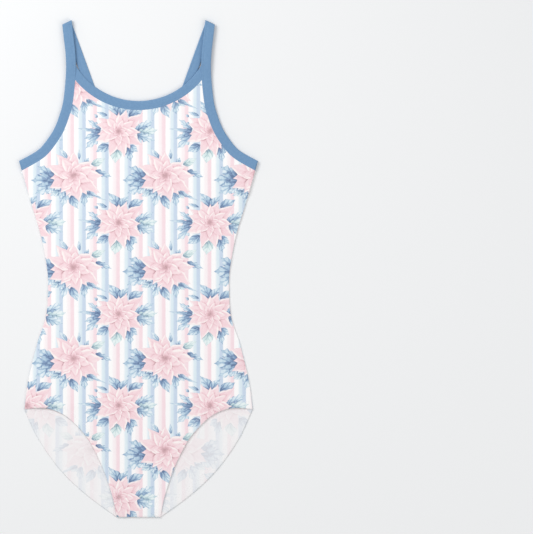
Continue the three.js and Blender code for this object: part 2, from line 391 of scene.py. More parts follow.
front_right = half_outline(FRONT_LEG)
front_arm = front_right[front_right[:, 1] > below_underarm[1] + BOUND_FROM]
leg_edges = {"front": curve(FRONT_LEG), "back": curve(BACK_LEG)}
side_line = curve(SIDE_SEAM)
crotch_line = np.array([(0.0, 0.0), as_points(FRONT_LEG)[0]])


def span(height):
    """Half the front panel's width at a height."""
    rising = front_right[: len(front_right) - len(front_arm)]
    return np.interp(height, np.maximum.accumulate(rising[:, 1]), rising[:, 0])


def folded_over(points):
    """Both halves laid on the right half, where the seams and edges are given."""
    return np.stack([np.abs(points[:, 0]), points[:, 1]], axis=1)


def hem_step(away):
    """The turned hem's height, at a distance from the leg edge."""
    return HEM_RISE * (1 - smooth((away - HEM + HEM_FADE / 2) / HEM_FADE))


def drift(points):
    x, y = points.T / 1000
    return DRIFT * np.prod([np.sin(a * x + b * y + phase) for a, b, phase in DRIFT_WAVES], axis=0)


def front_relief(points):
    """Small gathers beside the bindings, and the puckered hem round a leg."""
    side = np.sign(points[:, 0])
    away, along = nearest(folded_over(points), front_arm)
    shown = (1 - smooth(away / GATHER_REACH)) * smooth(away / GATHER_CLEAR)
    gathers = GATHER_HEIGHT * ripple(along, side, GATHER_PITCH) * shown
    away, along = nearest(folded_over(points), leg_edges["front"])
    puckers = PUCKER_HEIGHT * ripple(along, -side, PUCKER_PITCH) * (1 - smooth(away / PUCKER_REACH))
    return gathers + hem_step(away) + puckers


def back_middle(points):
    """Height of the middle of the back panel's cloth."""
    away = nearest(folded_over(points), leg_edges["back"])[0]
    return PANEL_CLOTH / 2 + CLEAR + hem_step(away) / 2


def front_middle(points):
    """Height of the middle of the front panel's cloth."""
    height = points[:, 1]
    across = np.clip(np.abs(points[:, 0]) / np.maximum(span(height), 1.0), 0.0, 1.0)
    along = smooth(height / LOFT_FROM_CROTCH) * smooth((NECK_HEIGHT - height) / LOFT_FROM_NECK)
    from_arm = nearest(folded_over(points), front_arm)[0]
    rise = SEAM_RISE * (1 - smooth(from_arm / SEAM_RISE_WIDTH))
    top = PANEL_WALL + GAP + rise + LOFT * along * (1 - across**2) + PANEL_WALL
    uneven = drift(points) * smooth((1 - across) / DRIFT_FADE) * along
    middle = top - PANEL_CLOTH / 2 + uneven + front_relief(points)
    folded = folded_over(points)
    away = np.minimum(nearest(folded, side_line)[0], nearest(folded, crotch_line)[0])
    joined = (1 - smooth(away / JOIN_WIDTH)) * smooth(from_arm / JOIN_FADE)
    return middle + (back_middle(points) + PANEL_CLOTH + CLEAR - middle) * joined


# Nodes as values, so that a pattern can be written as a formula. Their number is kept low.


class Value:
    """A number or vector at each point of a surface, worked out by nodes."""

    def __init__(self, socket):
        self.socket = socket

    def __add__(self, other):
        return sums("ADD", self, other)

    __radd__ = __add__

    def __sub__(self, other):
        return sums("SUBTRACT", self, other)

    def __rsub__(self, other):
        return sums("SUBTRACT", other, self)

    def __mul__(self, other):
        return sums("MULTIPLY", self, other)

    __rmul__ = __mul__

    def __truediv__(self, other):
        return sums("DIVIDE", self, other)

    def __rtruediv__(self, other):
        return sums("DIVIDE", other, self)

    def __abs__(self):
        return sums("ABSOLUTE", self)


def add_node(tree, kind, inputs=(), **settings):
    made = tree.nodes.new("ShaderNode" + kind)
    for key, value in settings.items():
        setattr(made, key, value)
    for key, value in dict(inputs).items():
        if isinstance(value, Value):
            tree.links.new(value.socket, made.inputs[key])
        else:
            made.inputs[key].default_value = value
    return made


def tree_of(values):
    return next(v.socket.node.id_data for v in values if isinstance(v, Value))


def sums(operation, *values):
    made = add_node(tree_of(values), "Math", enumerate(values), operation=operation)
    return Value(made.outputs[0])


def ramp(value, low, high):
    """0 where the value is on low's side, 1 where it is on high's, and smooth between."""
    limits = {0: value, 1: low, 2: high}
    made = add_node(tree_of([value]), "MapRange", limits, interpolation_type="SMOOTHSTEP", clamp=False)
    return Value(made.outputs[0])


def mix(factor, a, b, kind="FLOAT"):
    first, out = {"FLOAT": (2, 0), "RGBA": (6, 2)}[kind]
    made = add_node(tree_of([factor, a, b]), "Mix", {0: factor, first: a, first + 1: b}, data_type=kind)
    return Value(made.outputs[out])


def split(vector):
    made = add_node(tree_of([vector]), "SeparateXYZ", {0: vector})
    return [Value(s) for s in made.outputs]


def vectors(operation, *values):
    made = add_node(tree_of(values), "VectorMath", enumerate(values), operation=operation)
    return Value(made.outputs[0])


def noise(vector, scale, detail, output=0):
    made = add_node(tree_of([vector]), "TexNoise", {"Vector": vector, "Scale": scale, "Detail": detail})
    return Value(made.outputs[output])


def dice(number):
    """Three random numbers from 0 to 1 for each whole number."""
    made = add_node(tree_of([number]), "TexWhiteNoise", {"W": number}, noise_dimensions="1D")
    made = add_node(made.id_data, "SeparateColor", {0: Value(made.outputs["Color"])})
    return [Value(s) for s in made.outputs]


def cloth_place(tree):
    """Each point's place on its piece laid flat, in millimetres."""
    return Value(add_node(tree, "UVMap", uv_map="cut").outputs[0])


def colour_ramp(value, stops):
    made = add_node(tree_of([value]), "ValToRGB", {0: value})
    ramp_stops = made.color_ramp.elements
    while len(ramp_stops) < len(stops):
        ramp_stops.new(0.5)
    for stop, (place, colour) in zip(ramp_stops, stops):
        stop.position = place
        stop.color = linear(*colour)
    return Value(made.outputs[0])


def group(name, given, made, formula):
    """A group of nodes that works out one formula, to be used many times."""
    tree = bpy.data.node_groups.new(name, "ShaderNodeTree")
    for key in given:
        tree.interface.new_socket(key, in_out="INPUT", socket_type="NodeSocketFloat")
    for key in made:
        tree.interface.new_socket(key, in_out="OUTPUT", socket_type="NodeSocketFloat")
    start = tree.nodes.new("NodeGroupInput")
    results = formula(*[Value(start.outputs[key]) for key in given])
    end = tree.nodes.new("NodeGroupOutput")
    for key, result in zip(made, results):
        tree.links.new(result.socket, end.inputs[key])
    return tree


def use(shared, *values):
    made = add_node(tree_of(values), "Group", enumerate(values), node_tree=shared)
    return [Value(s) for s in made.outputs]


def linear(red, green, blue):
    def one(v):
        v /= 255
        return v / 12.92 if v <= 0.04045 else ((v + 0.055) / 1.055) ** 2.4

    return (one(red), one(green), one(blue), 1.0)


# The print. Its origin is the middle of one of the larger flowers.
REPEAT = 109.8
SECOND_FLOWER = (53.8, -56.9)
STRIPE_PERIOD = REPEAT / 4
PINK_STRIPE_EDGE = 1.0
BLUE_STRIPE_EDGE = 15.1
STRIPE_PALE = (0.61, 0.74)  # the pale band's soft start, as shares of the period
STRIPE_DEEP = (0.77, 0.87)
STRIPE_END = (0.955, 1.0)
STRIPE_STRENGTH = (0.7, 0.6)  # least, and what the wash adds
FRONT_PRINT = (-77.8, 112.0)  # the print's origin on each panel, from its middle
BACK_PRINT = (-52.2, 112.6)

# Unevenness: scale, in waves a millimetre, and detail.
WANDER = (0.16, 1.0)
WASH = (0.09, 3.0)
MOTTLE = (0.3, 2.0)
GRAIN = (1.1, 1.0)
FLOWERS_WANDER = (2.4, 2.4, 0.0)
STRIPES_WANDER = (0.7, 0.7, 0.0)

# Colours: red, green and blue from 0 to 255.
PAPER = (255, 254, 254)
WRONG_SIDE = (244, 243, 244)
WRONG_SIDE_COVER = 0.76  # how much of the print it hides
PINK_STRIPE = ((252, 243, 245), (248, 224, 230))  # pale, deep
BLUE_STRIPE = ((224, 238, 245), (203, 218, 236))
LEAF_BLUES = [
    (0.0, (102, 125, 160)), (0.25, (132, 158, 193)), (0.5, (170, 197, 219)),
    (0.75, (207, 226, 238)), (1.0, (236, 245, 250)),
]
LEAF_TEALS = [
    (0.0, (112, 138, 160)), (0.3, (149, 174, 190)), (0.55, (186, 211, 215)),
    (0.8, (215, 233, 234)), (1.0, (234, 245, 245)),
]
TEAL_TONES = (0.5, 0.8)
PETAL_PINKS = [
    (0.0, (188, 150, 156)), (0.2, (225, 186, 193)), (0.38, (242, 206, 213)),
    (0.58, (248, 219, 225)), (0.78, (251, 230, 233)), (1.0, (255, 247, 245)),
]
BINDING_BLUES = [(0.0, (101, 140, 181)), (0.5, (114, 152, 190)), (1.0, (128, 164, 200))]
BLUE_THREAD = (128, 164, 201)
WHITE_THREAD = (254, 253, 254)
THREAD_DARK = 0.94
THREAD_FLECKS = (900.0, 2.0)  # scale in waves a metre, and detail
THREAD_STOPS = (0.3, 0.7)
FLOOR_COLOUR = (243, 244, 245)

# What makes a leaf or petal paler or deeper: weight, and the limits between which it shows.
LEAF_TIP = (0.6, 0.0, 0.8)
LEAF_LIT_SIDE = (0.18, -0.3, 0.6)
LEAF_MIDRIB = (0.28, 0.14, 0.02)
LEAF_RIM = (0.12, 0.3, 0.02)
LEAF_LEAST = 0.04
LEAF_TONE = 0.5
LEAF_VEIN = 0.3
LEAF_SHADE = 0.28
LEAF_MOTTLE = 0.6
PETAL_LEAST = 0.32
PETAL_EDGE = (0.1, -0.02, 0.12)
PETAL_OUTER = (0.26, 0.1, 0.65)
PETAL_TIP = (0.08, 0.75, 1.05)
PETAL_ROLL = 0.2
PETAL_LIT_RIM = (0.38, -0.25, 0.35)
PETAL_RIM_LEAST = 0.04
PETAL_RIM = ((0.02, 0.14), (0.5, 0.18))  # its two soft sides
PETAL_RIM_START = (0.1, 0.4)
PETAL_VEIN = 0.06
PETAL_STREAKS = (8, 6.3, 0.04)  # waves across, turn, weight
PETAL_CREASE = (0.12, 0.0)
PETAL_CREASE_END = (0.95, 0.4)
PETAL_CREASE_DEPTH = 0.15

# The cloth's face.
SHEEN_ROUGHNESS = 0.4
SPECULAR = 0.3
LOOP = (0.9, 0.7)  # a knit loop's pitch across and along
LOOP_LEAN = 0.35
LOOP_GROOVE = 0.4  # the groove between columns, as a share of the depth
LOOP_DEPTH = 0.00012  # in metres
PATCHES = (0.35, 3.0)
PATCH_WEIGHT = 0.7
RIBS = (0.9, 0.8)
RIB_WEIGHT = 0.12

# Side veins: waves along, lean and shift, how sharp they are, and where they start.
LEAF_VEINS = ((17, 9, 3), (0.1, 0.95), (0.0, 0.2))
PETAL_VEINS = ((26, 8, 9), (0.2, 1.0), (0.05, 0.3))

# How leaves and petals lie over one another.
LEAF_EDGE = 0.9  # softness, in millimetres
LEAF_SHADOW = (-0.4, 0.0)
LEAF_SHADOW_START = (-0.05, 0.1)
RIM_SHADE = 0.22
RING_EDGE = 0.8
RING_SHADOW = (-0.5, 0.0)
RING_SHADOW_END = (1.25, 0.9)
RING_SHADE = 0.18
RING_LENGTHS = (0.78, 0.36)  # least, and what chance adds
RING_WANDER = 0.32
RING_FOOT = 0.62  # power that rounds a petal's foot
RING_FULLNESS = 2.3
RING_TIP = (1.0, 0.98)
ROLL_STEP = 0.37
FLOWER_CORE = (6.0, 5.0)
HEART_MIDDLE = 0.5
HEART_DEPTH = 0.75
FIRST_HEART = 10.5
SECOND_HEART = 8.5
FIRST_SEED = 0.1
SECOND_SEED = 0.6
FLOWER_WASH = 0.12
FLOWER_MOTTLE = 0.2
FLOWER_GRAIN = 0.3

# Half widths along a leaf or petal, from its foot to its tip, as shares of its greatest half width.
OUTLINES = {
    "plain": [(0.0, 0.0), (0.08, 0.42), (0.25, 0.92), (0.42, 1.0), (0.7, 0.62), (0.88, 0.2), (1.0, 0.0)],
    "lobed": [
        (0.0, 0.0), (0.1, 0.55), (0.24, 0.94), (0.34, 0.68), (0.48, 1.0),
        (0.6, 0.62), (0.72, 0.7), (0.84, 0.28), (1.0, 0.0),
    ],
    "petal": [(0.0, 0.3), (0.15, 0.5), (0.38, 0.94), (0.53, 1.0), (0.72, 0.68), (0.88, 0.24), (1.0, 0.0)],
}

# Leaves about each flower, from where they start: outline, x, y, turn in degrees, length, width,
# bend, tone. Tone is 0 for the deepest blue and 1 for the palest.
FIRST_LEAVES = [
    ("lobed", -22, -4, 116, 17, 13, 0.3, 0.5),
    ("lobed", -21, -4, 150, 27, 17, 0.2, 0.36),
    ("lobed", -20, -6, 178, 32, 20, -0.1, 0.26),
    ("lobed", -21, -8, 206, 29, 17, -0.2, 0.46),
    ("lobed", -23, -9, 238, 17, 11, 0.2, 0.5),
    ("plain", -16, -18, 214, 15, 8, 0.5, 0.6),
    ("lobed", -9, -16, 262, 23, 12, 0.3, 0.5),
    ("lobed", -11, -16, 238, 14, 9, -0.3, 0.4),
    ("plain", -3, -24, 288, 19, 11, -0.5, 0.34),
    ("lobed", 11, -16, 280, 22, 11, 0.3, 0.26),
    ("plain", 13, -19, 318, 14, 7, -0.3, 0.6),
    ("plain", 14, -20, 340, 29, 3.6, 0.5, 0.44),
    ("plain", 17, -18, 328, 17, 3.4, -0.5, 0.5),
    ("plain", 19, -17, 20, 7, 5, 0.4, 0.4),
    ("lobed", 26, 6, 334, 22, 8, -0.35, 0.2),
    ("plain", 21, 13, 18, 19, 9, -0.4, 0.86),
    ("plain", 14, 14, 66, 9, 6, 0.2, 0.3),
    ("plain", 7, 19, 96, 13, 4.4, 0.3, 0.5),
    ("plain", -6, 18, 128, 20, 6, 0.3, 0.55),
]
SECOND_LEAVES = [
    ("plain", 0.5, 18, 116, 22, 14, -0.5, 0.34),
    ("plain", 1.5, 18, 62, 18, 11, 0.5, 0.3),
    ("plain", 12, 18, 24, 21, 13, -0.2, 0.22),
    ("lobed", 21, -1, 62, 14, 9, 0.4, 0.6),
    ("lobed", 21, -1, 38, 26, 12, 0.3, 0.5),
    ("lobed", 22, -3, 8, 26, 12, -0.2, 0.7),
    ("lobed", 22, -4, 336, 23, 12, -0.4, 0.56),
    ("plain", 23, -7, 300, 10, 6, 0.2, 0.5),
    ("lobed", -21, 1, 137, 21, 9, -0.4, 0.5),
    ("plain", -20, 0, 175, 31, 4.6, 0.3, 0.36),
    ("lobed", -20, -2, 195, 23, 10, -0.3, 0.44),
    ("lobed", -21, -3, 227, 26, 12, 0.3, 0.5),
    ("plain", -12, -16, 216, 18, 11, 0.4, 0.34),
    ("plain", -2, -21, 264, 18, 14, 0.1, 0.84),
    ("lobed", 11, -17, 286, 20, 11, 0.3, 0.2),
    ("plain", 13, -17, 316, 13, 9, -0.3, 0.36),
    ("plain", -13, 19, 166, 15, 4.6, 0.4, 0.4),
    ("plain", -25, 17, 150, 6, 4, 0.2, 0.4),
]

# The outermost petals: turn in degrees, reach, width, bend.
FIRST_RIM = [
    (108, 26, 13, 0.2), (254, 27, 14, 0.2), (307, 29, 14, 0.2), (184, 29, 14, -0.2),
    (90, 30, 12, -0.1), (42, 28, 14, 0.3), (16, 30, 13, -0.2), (126, 34, 14, -0.3),
    (211, 34, 15, 0.3), (280, 34, 14, -0.2), (357, 36, 14, -0.3), (329, 38, 14, 0.3),
    (164, 35, 14, 0.3), (232, 27, 12, -0.2),
]
SECOND_RIM = [
    (90, 23, 11, 0.1), (22, 26, 12, 0.2), (306, 26, 13, 0.2), (186, 26, 12, -0.2),
    (39, 37, 12, 0.3), (67, 28, 12, -0.2), (115, 29, 12, 0.2), (143, 30, 12, -0.3),
    (163, 29, 11, 0.1), (207, 31, 13, 0.3), (249, 33, 12, -0.2), (286, 33, 12, 0.2),
    (327, 34, 13, -0.3), (0, 27, 12, 0.2),
]

# Rings of petals inside them: count, turn in sectors, reach, half width, seed.
FIRST_RINGS = [
    (7, 0.05, 24.0, 7.8, 17.0), (6, 0.55, 16.5, 6.2, 31.0), (5, 0.20, 10.0, 3.9, 47.0),
]
SECOND_RINGS = [
    (8, 0.65, 21.5, 6.4, 83.0), (7, 0.10, 14.5, 4.9, 101.0), (5, 0.40, 8.5, 3.4, 127.0),
]


def striped(under, x, edge, pale, deep, strength):
    """Lays stripes over a colour. Each is a pale band that deepens in a step and ends sharply."""
    place = sums("FRACT", (x - edge) / STRIPE_PERIOD)
    shown = (1 - ramp(place, *STRIPE_END)) * strength
    under = mix(ramp(place, *STRIPE_PALE) * shown, under, linear(*pale), "RGBA")
    return mix(ramp(place, *STRIPE_DEEP) * shown, under, linear(*deep), "RGBA")


def outline_width(along, shape):
    """A leaf's half width at a place along it."""
    made = add_node(along.socket.node.id_data, "FloatCurve", {1: along})
    line = made.mapping.curves[0]
    for at, value in OUTLINES[shape][1:-1]:
        line.points.new(at, value)
    line.points[0].location = OUTLINES[shape][0]
    line.points[-1].location = OUTLINES[shape][-1]
    made.mapping.update()
    return Value(made.outputs[0])


def leaf_group(shape):
    """
    Lays one leaf over what is there. The state is each point's place on its leaf, and its tone.
    The shade is what the leaf throws on those under it.
    """

    def formula(x, y, x_1, y_1, start_1, x_2, y_2, start_2, bend, edge, tone, *under):
        along = sums("MULTIPLY_ADD", x, x_1, sums("MULTIPLY_ADD", y, y_1, start_1))
        across = sums("MULTIPLY_ADD", x, x_2, sums("MULTIPLY_ADD", y, y_2, start_2))
        across = sums("MULTIPLY_ADD", along * along, bend, across)
        within = outline_width(along, shape) - abs(across)
        found = ramp(within, 0.0, edge)
        near = ramp(within, *LEAF_SHADOW) * ramp(along, *LEAF_SHADOW_START)
        state = [mix(found, old, new) for old, new in zip(under, (along, across, tone))]
        mask = sums("MAXIMUM", under[3], found)
        shade = sums("MAXIMUM", under[4], near) * (1 - found)
        return (*state, mask, shade)

    place = ("x", "y", "along_x", "along_y", "along_start", "across_x", "across_y", "across_start")
    state = ("along", "across", "tone", "mask", "shade")
    return group(f"{shape}_leaf", (*place, "bend", "edge", "new_tone", *state), state, formula)


leaf_groups = {shape: leaf_group(shape) for shape in OUTLINES}


def leaves(x, y, rows, state=(0.0, 0.0, 0.0, 0.0, 0.0)):
    for shape, foot_x, foot_y, turn, length, width, bend, tone in rows:
        c, s = math.cos(math.radians(turn)), math.sin(math.radians(turn))
        half = width / 2
        along = (c / length, s / length, -(foot_x * c + foot_y * s) / length)
        across = (-s / half, c / half, (foot_x * s - foot_y * c) / half)
        state = use(leaf_groups[shape], x, y, *along, *across, bend, LEAF_EDGE / width, tone, *state)
    return state


def weighed(value, weight, low, high):
    return ramp(value, low, high) * weight


def side_veins(along, side, drawn, counts, sharpness, start):
    waves, lean, shift = counts
    lines = sums("SINE", along * waves - side * lean + drawn * shift)
    return ramp(lines, *sharpness) * ramp(side, *start)


def leaf_light(along, across, tone, shade, mottle):
    """How pale a leaf is: deep at its foot, rim and veins, and pale to its tip."""
    side = abs(across)
    rim = weighed(outline_width(along, "plain") - side, *LEAF_RIM)
    veins = side_veins(along, side, mottle, *LEAF_VEINS)
    return (
        tone * LEAF_TONE
        + LEAF_LEAST
        + weighed(along, *LEAF_TIP)
        + weighed(across, *LEAF_LIT_SIDE)
        - veins * LEAF_VEIN
        - weighed(side, *LEAF_MIDRIB)
        - rim
        - shade * LEAF_SHADE
        + (mottle - 0.5) * LEAF_MOTTLE
    )


def petal_light(along, across, within, roll):
    """How pale a petal is, with a crease, fine veins and a lit rim."""
    side = abs(across)
    rim = ramp(within, *PETAL_RIM[0]) * ramp(within, *PETAL_RIM[1]) * ramp(along, *PETAL_RIM_START)
    lit = weighed(across, *PETAL_LIT_RIM) + PETAL_RIM_LEAST
    veins = side_veins(along, side, roll, *PETAL_VEINS) * PETAL_VEIN
    waves, turn, weight = PETAL_STREAKS
    streaks = sums("SINE", across * waves + roll * turn) * weight
    return (
        weighed(within, *PETAL_EDGE)
        + weighed(along, *PETAL_OUTER)
        + PETAL_LEAST
        - weighed(along, *PETAL_TIP)
        + (roll - 0.5) * PETAL_ROLL
        + rim * lit
        - veins
        + streaks
        - ramp(side, *PETAL_CREASE) * ramp(along, *PETAL_CREASE_END) * PETAL_CREASE_DEPTH
    )


def petal_ring(reach, angle, sector, count, turn, size, half, start, light):
    """A ring of petals, laid over the light of those under it."""
    turned = angle / sector + turn
    index = sums("FLOOR", turned)
    first, second, third = dice(sums("WRAP", index, count, 0.0) + start)
    least, chance = RING_LENGTHS
    length = (first * chance + least) * size
    bearing = (turned - index - 0.5 + (second - 0.5) * RING_WANDER) * sector
    along = reach * sums("COSINE", bearing) / length
    across = reach * sums("SINE", bearing) / half
    within = sums("POWER", along, RING_FOOT) * (1 - along) * RING_FULLNESS - abs(across)
    found = ramp(within, 0.0, RING_EDGE / half) * ramp(along, *RING_TIP)
    light = light - ramp(within, *RING_SHADOW) * ramp(along, *RING_SHADOW_END) * RING_SHADE
    return [mix(found, light, petal_light(along, across, within, third))]


ring_inputs = ("reach", "angle", "sector", "count", "turn", "size", "half", "start", "light")
ring_group = group("petal_ring", ring_inputs, ("new_light",), petal_ring)


def petals(x, y, rim, rings, heart, seed):
    rows = [
        ("petal", 0, 0, turn, length, width, bend, (ROLL_STEP * i + seed) % 1.0)
        for i, (turn, length, width, bend) in enumerate(rim)
    ]
    along, across, roll, mask, shade = leaves(x, y, rows)
    within = outline_width(along, "petal") - abs(across)
    light = petal_light(along, across, within, roll) - shade * RIM_SHADE
    reach = sums("POWER", x * x + y * y, 0.5)
    angle = sums("ARCTAN2", y, x)
    for count, turn, size, half, start in rings:
        sector = 2 * math.pi / count
        light = use(ring_group, reach, angle, sector, count, turn, size, half, start, light)[0]
    mask = sums("MAXIMUM", mask, ramp(reach, *FLOWER_CORE))
    return light - ramp(reach, heart, HEART_MIDDLE) * (light * HEART_DEPTH), mask


def print_group():
    tree = bpy.data.node_groups.new("print", "ShaderNodeTree")
    tree.interface.new_socket("Colour", in_out="OUTPUT", socket_type="NodeSocketColor")
    out = tree.nodes.new("NodeGroupOutput")
    uv = cloth_place(tree)
    wander = vectors("SUBTRACT", noise(uv, *WANDER, output=1), (0.5, 0.5, 0.5))
    place = vectors("ADD", uv, vectors("MULTIPLY", wander, FLOWERS_WANDER))
    wash = noise(uv, *WASH)
    x = split(vectors("ADD", uv, vectors("MULTIPLY", wander, STRIPES_WANDER)))[0]

    least, washed = STRIPE_STRENGTH
    strength = sums("MINIMUM", least + wash * washed, 1.0)
    colour = striped(linear(*PAPER), x, PINK_STRIPE_EDGE, *PINK_STRIPE, strength)
    colour = striped(colour, x, BLUE_STRIPE_EDGE, *BLUE_STRIPE, strength)

    half = REPEAT / 2
    wrap = ((half, half, 1.0), (-half, -half, -1.0))
    first = split(vectors("WRAP", place, *wrap))[:2]
    second = split(vectors("WRAP", vectors("SUBTRACT", place, (*SECOND_FLOWER, 0.0)), *wrap))[:2]
    mottle = noise(uv, *MOTTLE)
    grain = noise(uv, *GRAIN) - 0.5
    along, across, tone, mask, shade = leaves(*second, SECOND_LEAVES, leaves(*first, FIRST_LEAVES))
    light = leaf_light(along, across, tone, shade, mottle)
    teal = ramp(tone, *TEAL_TONES)
    leaf = mix(teal, colour_ramp(light, LEAF_BLUES), colour_ramp(light, LEAF_TEALS), "RGBA")
    colour = mix(mask, colour, leaf, "RGBA")

    light, mask = petals(*first, FIRST_RIM, FIRST_RINGS, FIRST_HEART, FIRST_SEED)
    light_2, mask_2 = petals(*second, SECOND_RIM, SECOND_RINGS, SECOND_HEART, SECOND_SEED)
    light = mix(mask_2, light, light_2) + (wash - 0.5) * FLOWER_WASH
    light = light + (mottle - 0.5) * FLOWER_MOTTLE + grain * FLOWER_GRAIN
    colour = mix(sums("MAXIMUM", mask, mask_2), colour, colour_ramp(light, PETAL_PINKS), "RGBA")
    tree.links.new(colour.socket, out.inputs[0])
    return tree


def shader(name, roughness, sheen):
    material = bpy.data.materials.new(name)
    material.use_nodes = True
    tree = material.node_tree
    base = tree.nodes["Principled BSDF"]
    base.inputs["Roughness"].default_value = roughness
    base.inputs["Sheen Weight"].default_value = sheen
    base.inputs["Sheen Roughness"].default_value = SHEEN_ROUGHNESS
    base.inputs["Specular IOR Level"].default_value = SPECULAR
    return material, tree, base


def knit_bump(tree, base, uv, strength):
    """Columns of small knit loops."""
    x, y, _ = split(uv)
    columns = abs(sums("FRACT", x / LOOP[0]) - 0.5) * 2
    lean = sums("FRACT", (y + columns * LOOP_LEAN) / LOOP[1])
    height = sums("SINE", lean * math.pi) * (1 - LOOP_GROOVE) + (1 - columns) * LOOP_GROOVE
    bump = add_node(tree, "Bump", {"Strength": strength, "Distance": LOOP_DEPTH, "Height": height})
    tree.links.new(bump.outputs[0], base.inputs["Normal"])


def print_materials():
    pattern = print_group()
    outer, tree, base = shader("printed_knit", roughness=0.5, sheen=0.12)
    shown = add_node(tree, "Group", node_tree=pattern)
    tree.links.new(shown.outputs[0], base.inputs["Base Color"])
    knit_bump(tree, base, cloth_place(tree), strength=0.5)

    wrong, tree, base = shader("knit_wrong_side", roughness=0.65, sheen=0.15)
    shown = add_node(tree, "Group", node_tree=pattern)
    ghost = mix(WRONG_SIDE_COVER, Value(shown.outputs[0]), linear(*WRONG_SIDE), "RGBA")
    tree.links.new(ghost.socket, base.inputs["Base Color"])
    knit_bump(tree, base, cloth_place(tree), strength=0.6)
    return outer, wrong


def binding_material():
    material, tree, base = shader("binding_knit", roughness=0.5, sheen=0.15)
    uv = cloth_place(tree)
    patch = noise(uv, *PATCHES)
    x, y, _ = split(uv)
    ribs = sums("SINE", x * (2 * math.pi / RIBS[0])) * sums("SINE", y * (2 * math.pi / RIBS[1]))
    shade = patch * PATCH_WEIGHT + (1 - PATCH_WEIGHT) / 2 + ribs * RIB_WEIGHT
    colour = colour_ramp(shade, BINDING_BLUES)
    tree.links.new(colour.socket, base.inputs["Base Color"])
    knit_bump(tree, base, uv, strength=0.6)
    return material


def thread_material(name, colour):
    material, tree, base = shader(name, roughness=0.45, sheen=0.1)
    where = Value(add_node(tree, "TexCoord").outputs["Object"])
    fleck = noise(where, *THREAD_FLECKS)
    dark = tuple(v * THREAD_DARK for v in colour)
    shade = colour_ramp(fleck, list(zip(THREAD_STOPS, (dark, colour))))
    tree.links.new(shade.socket, base.inputs["Base Color"])
    return material


printed, wrong_side = print_materials()
binding = binding_material()
blue_thread = thread_material("blue_thread", BLUE_THREAD)
white_thread = thread_material("white_thread", WHITE_THREAD)


# Bindings.


def band(name, left, right, base, count, seed):
    left, right = respaced(left, count=count), respaced(right, count=count)
    sides = len(BAND_SECTION)
    across, up = np.array(BAND_SECTION).T
    along = lengths((left + right) / 2)
    width = np.linalg.norm(left - right, axis=1)
    swell = 1 + BAND_SWELL * ripple(along, seed, BAND_SWELL_PITCH)
    flat = left[:, None, :] * (1 - across)[None, :, None] + right[:, None, :] * across[None, :, None]
    height = (left[:, 1] + right[:, 1]) / 2
    swollen = np.where(up[None, :] > BAND_SWELL_FROM, swell[:, None], 1.0)
    z = base(height)[:, None] + BAND_WALL * up[None, :] * swollen
    vertices = in_metres(flat[..., 0], flat[..., 1], z).reshape(-1, 3)
    uv = np.stack(
        [np.broadcast_to(along[:, None], z.shape), across[None, :] * width[:, None]], axis=-1
    ).reshape(-1, 2)
    faces = []
    for i in range(count):
        for k in range(sides):
            a, b = i * sides + k, i * sides + (k + 1) % sides
            faces.append((a, b, b + sides, a + sides))
    faces.append(tuple(range(sides))[::-1])
    faces.append(tuple(count * sides + k for k in range(sides)))
    flipped = [tuple(reversed(f)) for f in faces]
    return mesh_object(f"{name}_knit", vertices, flipped, uv, [binding])


def climb(height):
    return smooth((height - CROSSING[0]) / (CROSSING[1] - CROSSING[0]))


def point_on(line, along, place):
    return np.array([np.interp(place, along, line[:, k]) for k in (0, 1)])


def stitch_row(line, base_height, length, gap, radius):
    """Short round stitches laid end to end along a line, as vertices and faces."""
    along = lengths(line)
    vertices, faces = [], []
    ring = STITCH_SIDES
    angles = np.arange(ring) * 2 * math.pi / ring
    place = gap
    while place + length < along[-1]:
        a, b = point_on(line, along, place), point_on(line, along, place + length)
        middle, ahead = (a + b) / 2, (b - a) / np.linalg.norm(b - a)
        aside = np.array([-ahead[1], ahead[0]])
        z = float(base_height(middle))
        start = len(vertices)
        for t, r in STITCH_PROFILE:
            for angle in angles:
                p = middle + ahead * t * length + aside * math.cos(angle) * radius * r
                dip = -STITCH_DIP * (2 * t) ** 2
                vertices.append((p[0], p[1], z + math.sin(angle) * radius * r + dip))
        for i in range(len(STITCH_PROFILE) - 1):
            for k in range(ring):
                q = start + i * ring + k
                n = start + i * ring + (k + 1) % ring
                faces.append((q, n, n + ring, q + ring))
        faces.append(tuple(start + k for k in range(ring))[::-1])
        faces.append(tuple(start + (len(STITCH_PROFILE) - 1) * ring + k for k in range(ring)))
        place += length + gap
    return vertices, faces


def stitches(name, rows, material):
    vertices, faces = [], []
    for row_vertices, row_faces in rows:
        start = len(vertices)
        vertices += row_vertices
        faces += [tuple(start + v for v in face) for face in row_faces]
    placed = in_metres(*np.array(vertices).T)
    return mesh_object(name, placed, faces, placed[:, :2] * 1000, [material])


def stitch_line(left, right):
    count = math.ceil(lengths(left)[-1] / FINE_STEP)
    a, b = respaced(left, count=count), respaced(right, count=count)
    return a + (b - a) * STITCH_LINE


arm_left, arm_right = arm_edge(ARM_BAND / 2 + LIP), arm_edge(-ARM_BAND / 2)
arm_count = math.ceil(lengths(arm_left)[-1] / BAND_STEP)


def front_arm_base(height):
    return UPPER + UPPER * climb(height)


def back_arm_base(height):
    return UPPER * climb(height)


def neck_lines(seam_angle, free_angle, tuck):
    seam_more, free_more = tuck / NECK_RADIUS, tuck / (NECK_RADIUS - NECK_BAND)
    count = math.ceil(2 * seam_angle * NECK_RADIUS / BAND_STEP)
    free = neck_arc(NECK_RADIUS - NECK_BAND, -free_angle - free_more, free_angle + free_more, count=count)
    seam = neck_arc(NECK_RADIUS + LIP, -seam_angle - seam_more, seam_angle + seam_more, count=count)
    return seam, free, count


